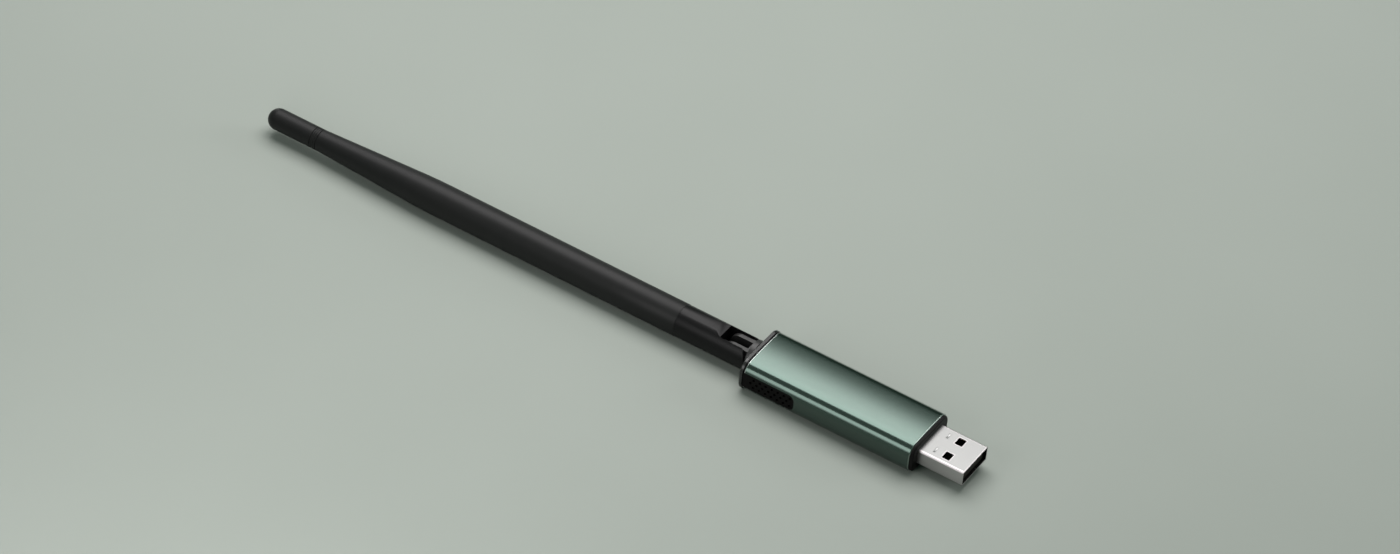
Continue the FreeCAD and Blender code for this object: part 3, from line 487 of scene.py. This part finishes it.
# %% [markdown]
# ## Finishes of the parts inside
# Nothing of the circuit board shows while the case is closed, but the library keeps every part, so each
# one gets the finish of the real thing: a lacquered board with its glass weave, matt chip packages with
# a polished dot at their first leg, milky lamps, fired ceramic, a soft grey heat pad and a smooth cable.

# %% Board, chips and cable
WEAVE_PER_METRE = 900.0


def lacquered_board():
    """Green lacquer over woven glass: a faint square weave, glossy, darker where copper runs below."""
    material, shader, begin = start_finish("lacquered_board")
    shader.inputs["Coat Weight"].default_value = 0.6
    shader.inputs["Coat Roughness"].default_value = 0.12
    where = place_on(begin)
    warp, weft = [begin.node("ShaderNodeTexWave", {"bands_direction": axis},
                             {"Vector": where, "Scale": WEAVE_PER_METRE}) for axis in "XY"]
    copper = noise(begin, 420, 1, 0.4) > 0.53
    feed(shader, "Base Color", mix(copper, (0.006, 0.055, 0.024), (0.012, 0.095, 0.040)))
    feed(shader, "Roughness", warp * 0.06 + weft * 0.06 + 0.30)
    bump(shader, warp * weft, 0.004 * MM)
    return material


def chip_package(node):
    """Matt black epoxy with a small polished dot by the first leg."""
    low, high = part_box(node)
    material, shader, begin = start_finish("package_of_" + node)
    side = min(high.x - low.x, high.y - low.y)
    dot = (low.x + side * 0.2, low.y + side * 0.2, high.z)
    distance = {"operation": "DISTANCE"}
    spot = begin.node("ShaderNodeVectorMath", distance, {0: place_on(begin), 1: dot}, "Value") < side * 0.08
    grain = noise(begin, 9000, 3, 0.6)
    feed(shader, "Base Color", mix(spot, (0.018, 0.018, 0.019), (0.030, 0.030, 0.031)))
    feed(shader, "Roughness", grain * 0.2 + 0.45 - spot * 0.2)
    bump(shader, grain, 0.004 * MM)
    return material


def smooth_part(name, first, second, rough, per_metre=1500, see_through=0.0):
    """A plain small part: two close colours in clouds, and a finish that varies a little with them."""
    material, shader, begin = start_finish(name)
    shader.inputs["Transmission Weight"].default_value = see_through
    cloud = noise(begin, per_metre, 3, 0.55)
    feed(shader, "Base Color", mix(cloud, first, second))
    feed(shader, "Roughness", cloud * 0.15 + (rough - 0.07))
    bump(shader, cloud, 0.003 * MM)
    return material


board_finish = lacquered_board()
green_lamp = smooth_part("lamp_lens", (0.55, 0.62, 0.55), (0.68, 0.74, 0.68), 0.25, see_through=0.25)
red_lamp = smooth_part("lamp_lens_red", (0.50, 0.12, 0.10), (0.62, 0.18, 0.15), 0.25, see_through=0.2)
ceramic_finish = smooth_part("fired_ceramic", (0.30, 0.20, 0.12), (0.38, 0.26, 0.16), 0.4, 6000)
pad_finish = smooth_part("heat_pad", (0.16, 0.17, 0.19), (0.22, 0.23, 0.25), 0.75, 3500)
cable_finish = smooth_part("cable_jacket", (0.012, 0.012, 0.013), (0.020, 0.020, 0.021), 0.38, 2500)
spacer_finish = smooth_part("natural_nylon", (0.62, 0.60, 0.54), (0.70, 0.68, 0.62), 0.5, 1200)
print("inner finishes:", board_finish.name, green_lamp.name, ceramic_finish.name, pad_finish.name)

# %% [markdown]
# ## Rounding the edges of a CAD solid
# A real moulding or folded sheet has no knife edges: a tenth of a millimetre of rounding is what
# catches the light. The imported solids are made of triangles, which a bevel can't follow. So a copy is
# welded and its flat faces are made whole again, and then a Bevel modifier rounds what is still sharp.

# %% Copy a solid with rounded edges
SAME_POINT = 0.0005 * MM
SLIVER = 0.0002 * MM
FLAT_WITHIN = math.radians(0.5)
slots = {part["node"]: part["material_slot"] for part in frame["record"]["subparts"]}


def body_of(node):
    """The body that the record puts a node on."""
    groups = frame["record"]["behaviour"]["bodies"]
    return next(body for body, members in groups.items() if node in members)


def whole_faces(node):
    """The CAD mesh of a node, welded, with the triangles of each flat face joined."""
    mesh = bmesh.new()
    mesh.from_mesh(frame["nodes"][node].data)
    bmesh.ops.remove_doubles(mesh, verts=mesh.verts, dist=SAME_POINT)
    bmesh.ops.dissolve_limit(mesh, angle_limit=FLAT_WITHIN, verts=mesh.verts, edges=mesh.edges)
    return mesh


def add_piece(name, mesh, finish, node):
    """Turns a bmesh into a piece with one finish that stands for a node and rides on its body."""
    data = bpy.data.meshes.new(name)
    mesh.to_mesh(data)
    mesh.free()
    data.materials.append(finish)
    piece = bpy.data.objects.new(name, data)
    bpy.context.scene.collection.objects.link(piece)
    for face in data.polygons:
        face.use_smooth = True
    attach(piece, body_of(node))
    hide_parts(node)
    print(name, "faces before rounding:", len(data.polygons))
    return piece


def round_edges(piece, width, angle=30):
    """Rounds edges sharper than an angle in degrees, and keeps flat faces flat in the shading."""
    bevel = piece.modifiers.new("rounded_edges", "BEVEL")
    bevel.width = width
    bevel.segments = 2
    bevel.limit_method = "ANGLE"
    bevel.angle_limit = math.radians(angle)
    bevel.miter_outer = "MITER_ARC"
    slivers = piece.modifiers.new("closed_slivers", "WELD")
    slivers.merge_threshold = SLIVER
    flat = piece.modifiers.new("flat_faces", "WEIGHTED_NORMAL")
    flat.weight = 100
    flat.keep_sharp = True


def softened(node, name, finish, width):
    """A piece with a node's own shape and soft edges."""
    round_edges(add_piece(name, whole_faces(node), finish, node), width)


print("nodes with a slot:", len(slots))

# %% [markdown]
# ## The aluminium sleeve
# The sleeve is an extrusion: one rounded section pushed out along a line, sawn off, with its ends cut
# bright and a notch milled into each side for the vents. A box with bevels would have dead flat faces
# that mirror one flat tone. Pressed aluminium always crowns a little, so the section here is drawn
# point by point with 0.15 mm of crown on its long faces, and then swept, cut and edged.

# %% Section of the sleeve
SLEEVE_CORNER = 3.1 * MM
SLEEVE_WALL = 0.8 * MM
SLEEVE_CROWN = 0.15 * MM
CORNER_STEPS, ARCH_STEPS = 14, 12


def crowned_section(half_width, half_height, corner, crown):
    """Points (y, z) round a rounded rectangle whose top and bottom are slightly arched."""
    flat = half_width - corner
    lean = math.atan(2 * crown / flat)
    bend = []
    for index in range(CORNER_STEPS + 1):
        turn = lean + (math.pi / 2 - lean) * index / CORNER_STEPS
        out = corner * (math.sin(turn) - math.sin(lean)) / (1 - math.sin(lean))
        down = corner * (math.cos(lean) - math.cos(turn))
        bend.append((flat + out, half_height - crown - down))
    points = []
    for side in (1, -1):
        for index in range(ARCH_STEPS):
            share = 1 - 2 * index / ARCH_STEPS
            points.append((side * share * flat, side * (half_height - crown * share ** 2)))
        points += [(-side * y, side * z) for y, z in bend]
        points += [(-side * y, -side * z) for y, z in bend[:0:-1]]
    return points


def sleeve_ring(x, inset):
    """The sleeve's section at a place along the stick, drawn in by an inset all round."""
    half_width = (sleeve_high.y - sleeve_low.y) / 2 - inset
    half_height = (sleeve_high.z - sleeve_low.z) / 2 - inset
    section = crowned_section(half_width, half_height, SLEEVE_CORNER - inset, SLEEVE_CROWN)
    return [(x, y, z + stick_height) for y, z in section]


print("points round the sleeve:", len(sleeve_ring(0, 0)))

# %% Sweep the sleeve
END_ROUND = 0.22 * MM


def swept_tube(rings):
    """A closed tube through rings of points of equal count, the last joined to the first."""
    mesh = bmesh.new()
    loops = [[mesh.verts.new(point) for point in ring] for ring in rings]
    count = len(rings[0])
    for here, there in zip(loops, loops[1:] + loops[:1]):
        for index in range(count):
            following = (index + 1) % count
            mesh.faces.new((here[index], here[following], there[following], there[index]))
    bmesh.ops.recalc_face_normals(mesh, faces=mesh.faces)
    return mesh


def sleeve_rings():
    """Rings of the tube: its rounded front end, the wall inside, and its rounded rear end."""
    turns = [math.radians(angle) for angle in (0, 30, 60, 90)]
    ends = [(END_ROUND * (1 - math.sin(turn)), END_ROUND * (1 - math.cos(turn))) for turn in turns]
    rings = [sleeve_ring(sleeve_high.x - along, inset) for along, inset in ends]
    rings += [sleeve_ring(x, SLEEVE_WALL) for x in (sleeve_high.x, sleeve_low.x)]
    return rings + [sleeve_ring(sleeve_low.x + along, inset) for along, inset in ends[::-1]]


sleeve = add_piece("green_sleeve", swept_tube(sleeve_rings()), sleeve_finish, "housing_sleeve")

# %% Mill the notches
NOTCH_LENGTH = 15.05 * MM
NOTCH_HEIGHT = 4.7 * MM
NOTCH_CORNER = 1.6 * MM
NOTCH_STEPS = 10


def rounded_block(low, high, corner):
    """A block with its four edges along Y rounded."""
    points = []
    for x, z, start in ((high.x - corner, high.z - corner, 0), (low.x + corner, high.z - corner, 90),
                        (low.x + corner, low.z + corner, 180), (high.x - corner, low.z + corner, 270)):
        for index in range(NOTCH_STEPS + 1):
            turn = math.radians(start + 90 * index / NOTCH_STEPS)
            points.append((x + corner * math.cos(turn), z + corner * math.sin(turn)))
    mesh = bmesh.new()
    near = [mesh.verts.new((x, low.y, z)) for x, z in points]
    far = [mesh.verts.new((x, high.y, z)) for x, z in points]
    mesh.faces.new(near)
    mesh.faces.new(far[::-1])
    for index in range(len(points)):
        following = (index + 1) % len(points)
        mesh.faces.new((near[index], far[index], far[following], near[following]))
    bmesh.ops.recalc_face_normals(mesh, faces=mesh.faces)
    return mesh


def cut_away(piece, cutter):
    """Takes a bmesh away from a piece with an exact Boolean, and keeps only the result."""
    data = bpy.data.meshes.new("cutter")
    cutter.to_mesh(data)
    cutter.free()
    tool = bpy.data.objects.new("cutter", data)
    bpy.context.scene.collection.objects.link(tool)
    boolean = piece.modifiers.new("cut", "BOOLEAN")
    boolean.operation = "DIFFERENCE"
    boolean.solver = "EXACT"
    boolean.object = tool
    bpy.context.view_layer.update()
    result = bpy.data.meshes.new_from_object(piece.evaluated_get(bpy.context.evaluated_depsgraph_get()))
    piece.modifiers.clear()
    piece.data = result
    bpy.data.objects.remove(tool)
    bpy.data.meshes.remove(data)
    print(piece.name, "faces after the cut:", len(piece.data.polygons))


notch_low = Vector((sleeve_low.x - 2 * NOTCH_CORNER, sleeve_low.y - MM, stick_height - NOTCH_HEIGHT / 2))
notch_high = Vector((sleeve_low.x + NOTCH_LENGTH, sleeve_high.y + MM, stick_height + NOTCH_HEIGHT / 2))
cut_away(sleeve, rounded_block(notch_low, notch_high, NOTCH_CORNER))
round_edges(sleeve, 0.05 * MM, angle=35)

# %% [markdown]
# ## Caps, plug and hinge
# The caps and the hinge are black mouldings and the plug is folded sheet, so all of them keep their CAD
# shape with soft edges. A moulded rim never meets a sawn tube exactly: the thin dark line between
# them is a small step in the moulding, which a ring cutter takes out of the rear cap here.

# %% Caps, plug, knuckle and fork
GROOVE_REAR, GROOVE_FRONT, GROOVE_DEPTH = -0.40 * MM, -0.10 * MM, 0.75 * MM
OUTSIDE = -MM

softened("front_cap", "front_end_cap", cap_finish, 0.10 * MM)
rear_cap = add_piece("rear_end_cap", whole_faces("rear_cap"), rim_finish, "rear_cap")
groove = [(GROOVE_REAR, OUTSIDE), (GROOVE_FRONT, OUTSIDE), (GROOVE_FRONT, GROOVE_DEPTH),
          (GROOVE_REAR, GROOVE_DEPTH)]
cut_away(rear_cap, swept_tube([sleeve_ring(sleeve_low.x + along, inset) for along, inset in groove]))
round_edges(rear_cap, 0.07 * MM)
softened("usb_shell", "plug_shell", plug_finish, 0.05 * MM)
softened("swivel_knuckle", "antenna_knuckle", knuckle_finish, 0.08 * MM)
softened("rod_fork", "antenna_fork", fork_finish, 0.07 * MM)

# %% [markdown]
# ## The rod
# The rod is a moulded tube: a thick part, a long taper, a few fine rings and a thin round-ended tip. It
# is the same all the way round, so it is turned like wood on a lathe: one line of radii along the
# axis, copied round it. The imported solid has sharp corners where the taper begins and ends; a real
# moulding flows through them, and its ring grooves have soft lips.

# %% Radius along the rod
ROD_STRAIGHT = 79.0 * MM
ROD_TAPER = 35.0 * MM
ROD_TIP_RADIUS = 3.0 * MM
ROD_WALL = 1.0 * MM
FRONT_FLOW = 5.0 * MM
REAR_FLOW = FRONT_FLOW / 8
RING_PITCH = 0.62 * MM
RING_DEPTHS = (0.30 * MM, 0.15 * MM, 0.15 * MM, 0.30 * MM)
RING_HALF_WIDTH = 0.17 * MM
rod_low, rod_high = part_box("rod_tube")
rod_radius = (rod_high.z - rod_low.z) / 2
rod_axis = (rod_high.z + rod_low.z) / 2
taper_start = rod_high.x - ROD_STRAIGHT
taper_end = taper_start - ROD_TAPER


def eased(value):
    """The straight line max(0, value) with its corner at 0 rounded over one unit each side."""
    return 0 if value < -1 else value if value > 1 else (value + 1) ** 2 / 4


def rod_outside(x):
    """Radius at a place along the rod, with the ends of the taper rounded."""
    slope = (rod_radius - ROD_TIP_RADIUS) / ROD_TAPER
    behind = eased((taper_start - x) / FRONT_FLOW) * FRONT_FLOW
    past = eased((taper_end - x) / REAR_FLOW) * REAR_FLOW
    radius = rod_radius - slope * (behind - past)
    for index, depth in enumerate(RING_DEPTHS):
        away = abs(x - (taper_end - RING_PITCH * (index + 0.5))) / RING_HALF_WIDTH
        if away < 1:
            radius -= depth * (0.5 + 0.5 * math.cos(math.pi * away))
    return radius


print("radius at the fork and at the tip:", [round(rod_outside(x), 5) for x in (rod_high.x, rod_low.x)])

# %% Line of the rod
ROD_LIP = 0.12 * MM
STRAIGHT_STEP, TAPER_STEP = 20 * MM, 3 * MM
FLOW_STEPS, RING_STEPS, TIP_STEPS = 16, 72, 16


def rod_line():
    """(x, radius) from the open front of the rod back to its tip, and forward again inside."""
    lip = [(0, ROD_LIP), (ROD_LIP * 0.3, ROD_LIP * 0.3), (ROD_LIP, 0)]
    line = [(rod_high.x - along, rod_radius - down) for along, down in lip]
    places = [rod_high.x - STRAIGHT_STEP * (index + 1) for index in range(3)]
    flow = 2 * FRONT_FLOW / FLOW_STEPS
    places += [taper_start + FRONT_FLOW - flow * index for index in range(FLOW_STEPS + 1)]
    places += [taper_start - FRONT_FLOW - TAPER_STEP * (index + 1) for index in range(9)]
    rings_start = taper_end + FRONT_FLOW / 6
    rings_end = taper_end - RING_PITCH * (len(RING_DEPTHS) + 0.6)
    stretch = (rings_end - rings_start) / RING_STEPS
    places += [rings_start + stretch * index for index in range(RING_STEPS + 1)]
    line += [(x, rod_outside(x)) for x in places]
    tip_middle = rod_low.x + ROD_TIP_RADIUS
    for index in range(TIP_STEPS + 1):
        turn = math.pi / 2 * index / TIP_STEPS
        line.append((tip_middle - ROD_TIP_RADIUS * math.sin(turn), ROD_TIP_RADIUS * math.cos(turn)))
    inside = [(rod_low.x + ROD_WALL, 0), (tip_middle, ROD_TIP_RADIUS - ROD_WALL),
              (taper_end, ROD_TIP_RADIUS - ROD_WALL), (taper_start, rod_radius - ROD_WALL),
              (rod_high.x, rod_radius - ROD_WALL)]
    return line + inside


print("points along the rod:", len(rod_line()))

# %% Turn the rod
ROD_SIDES = 96
ON_AXIS = 1e-9


def turned(line, axis_height):
    """A closed solid turned about the stick's axis from (x, radius) points, joined end to start."""
    mesh = bmesh.new()
    circle = [(math.cos(turn), math.sin(turn))
              for turn in (2 * math.pi * index / ROD_SIDES for index in range(ROD_SIDES))]
    rings = []
    for x, radius in line:
        around = [(0, 0)] if radius < ON_AXIS else circle
        rings.append([mesh.verts.new((x, radius * y, axis_height + radius * z)) for y, z in around])
    for here, there in zip(rings, rings[1:] + rings[:1]):
        if len(here) == 1 and len(there) == 1:
            continue
        for index in range(ROD_SIDES):
            following = (index + 1) % ROD_SIDES
            corners = [here[index % len(here)], here[following % len(here)],
                       there[following % len(there)], there[index % len(there)]]
            mesh.faces.new(list(dict.fromkeys(corners)))
    bmesh.ops.recalc_face_normals(mesh, faces=mesh.faces)
    return mesh


add_piece("antenna_rod", turned(rod_line(), rod_axis), rod_finish, "rod_tube")

# %% [markdown]
# ## Finishes on the solids that stay
# Most small solids are right as they are: a contact strip, a screw or a washer needs no new mesh, only
# its finish. The record gives each one a slot, and one table below gives each slot its finish.

# %% Assign the other finishes
FINISHES = {
    "vent": vent_finish, "insulator": insulator_finish, "gold": gold_finish, "steel": steel_finish,
    "can": can_finish, "brass": brass_finish, "copper": copper_finish, "antenna": rod_finish,
    "cap": cap_finish, "shell": plug_finish, "sleeve": sleeve_finish, "board": board_finish,
    "lamp_green": green_lamp, "lamp_red": red_lamp, "ceramic": ceramic_finish, "heat_pad": pad_finish,
    "cable": cable_finish, "spacer": spacer_finish, "carrier": carrier_finish,
}
for node, slot in slots.items():
    finish = chip_package(node) if slot == "package" else FINISHES[slot]
    for material_slot in frame["nodes"][node].material_slots:
        material_slot.material = finish
print("nodes with a finish:", len(slots))
